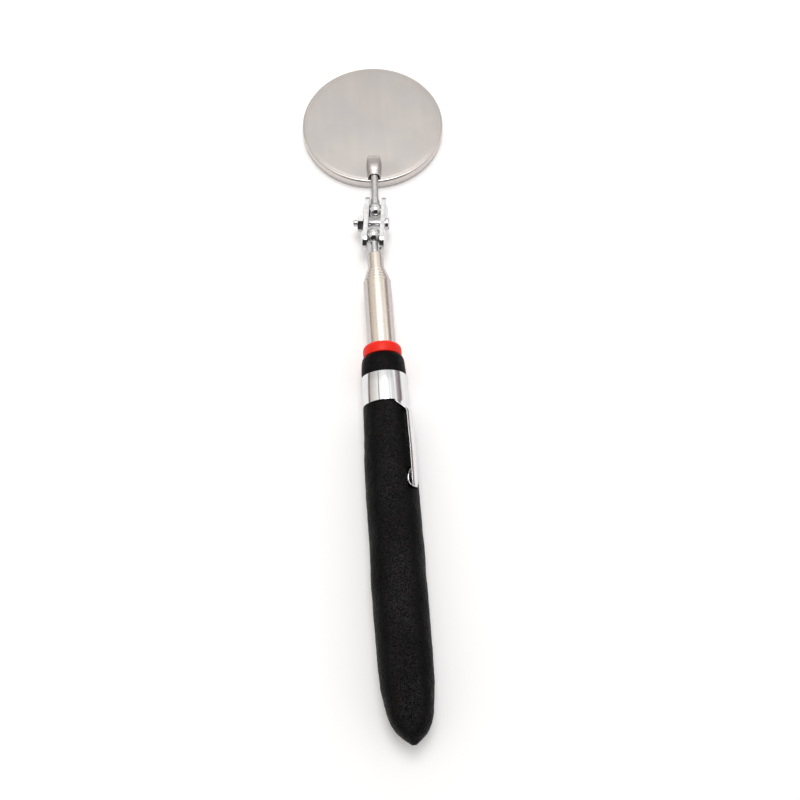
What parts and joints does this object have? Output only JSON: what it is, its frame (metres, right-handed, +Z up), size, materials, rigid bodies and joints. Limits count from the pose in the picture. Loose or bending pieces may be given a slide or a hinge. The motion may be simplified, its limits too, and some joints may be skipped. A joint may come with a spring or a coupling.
{
  "type": "telescoping inspection mirror",
  "caption": "Round mirror on a double-ball clamp at the end of a telescoping tube, with a foam grip and a pocket clip.",
  "frame": {"origin": "on the bench under the middle of the closed tool, which lies mirror face down", "axes": "+Y along the tool from the grip's tail to the mirror, +Z up from the bench, +X to the right seen from the tail"},
  "size_m": [0.05, 0.234, 0.016],
  "materials": {
    "grip_foam": "matte",
    "collar_red": "gloss",
    "tube_plate": "polished",
    "clip_chrome": "polished",
    "clamp_chrome": "polished",
    "ball_steel": "polished",
    "shell_steel": "satin",
    "bush_bronze": "satin",
    "plug_plastic": "matte",
    "pad_foam": "matte",
    "mirror_glass": "polished"
  },
  "bodies": {
    "handle": {"foam_grip": "grip_foam", "red_collar": "collar_red", "outer_tube": "tube_plate", "outer_tube_plug": "plug_plastic", "clip_band": "clip_chrome"},
    "clip_arm": {"clip_arm": "clip_chrome"},
    "section_2": {"tube_section_2": "tube_plate", "friction_bush_2": "bush_bronze"},
    "section_3": {"tube_section_3": "tube_plate", "friction_bush_3": "bush_bronze"},
    "section_4": {"tube_section_4": "tube_plate", "friction_bush_4": "bush_bronze"},
    "section_5": {"tube_section_5": "tube_plate", "friction_bush_5": "bush_bronze", "tube_end_plug": "plug_plastic"},
    "lower_ball": {"lower_ball_stud": "ball_steel"},
    "clamp": {"clamp_plate_left": "clamp_chrome", "clamp_plate_right": "clamp_chrome", "clamp_screw": "clamp_chrome"},
    "tension_nut": {"clamp_nut": "clamp_chrome"},
    "upper_ball": {"upper_ball_stud": "ball_steel"},
    "mirror_head": {"mirror_shell": "shell_steel", "mirror_glass": "mirror_glass", "mirror_pad": "pad_foam"}
  },
  "joints": [
    {"name": "clip_flex", "type": "hinge", "parent": "handle", "child": "clip_arm", "pos_m": [0.00397, -0.0214, 0.01353], "axis": [-0.6428, 0, 0.766], "range_deg": [0, 5], "stiffness_Nm_per_rad": 1.2},
    {"name": "section_2_slide", "type": "slide", "parent": "handle", "child": "section_2", "axis": [0, 1, 0], "range_m": [0, 0.1065]},
    {"name": "section_3_slide", "type": "slide", "parent": "section_2", "child": "section_3", "axis": [0, 1, 0], "range_m": [0, 0.1005]},
    {"name": "section_4_slide", "type": "slide", "parent": "section_3", "child": "section_4", "axis": [0, 1, 0], "range_m": [0, 0.094]},
    {"name": "section_5_slide", "type": "slide", "parent": "section_4", "child": "section_5", "axis": [0, 1, 0], "range_m": [0, 0.0877]},
    {"name": "lower_ball_turn", "type": "hinge", "parent": "section_5", "child": "lower_ball", "pos_m": [-0.00261, 0.0424, 0.008], "axis": [0, 1, 0], "continuous": true},
    {"name": "lower_ball_pitch", "type": "hinge", "parent": "lower_ball", "child": "clamp", "pos_m": [-0.00261, 0.0424, 0.008], "axis": [0.9945, -0.1045, 0], "range_deg": [-87, 113]},
    {"name": "upper_ball_pitch", "type": "hinge", "parent": "clamp", "child": "upper_ball", "pos_m": [-0.00139, 0.05403, 0.0053], "axis": [-0.9945, 0.1045, 0], "range_deg": [-87, 113]},
    {"name": "mirror_turn", "type": "hinge", "parent": "upper_ball", "child": "mirror_head", "pos_m": [0, 0.092, 0.0053], "axis": [0.0366, 0.9993, 0], "continuous": true},
    {"name": "tension_nut_turn", "type": "hinge", "parent": "clamp", "child": "tension_nut", "pos_m": [-0.002, 0.04821, 0.00665], "axis": [0.9945, -0.1045, 0], "range_deg": [-180, 20]}
  ]
}
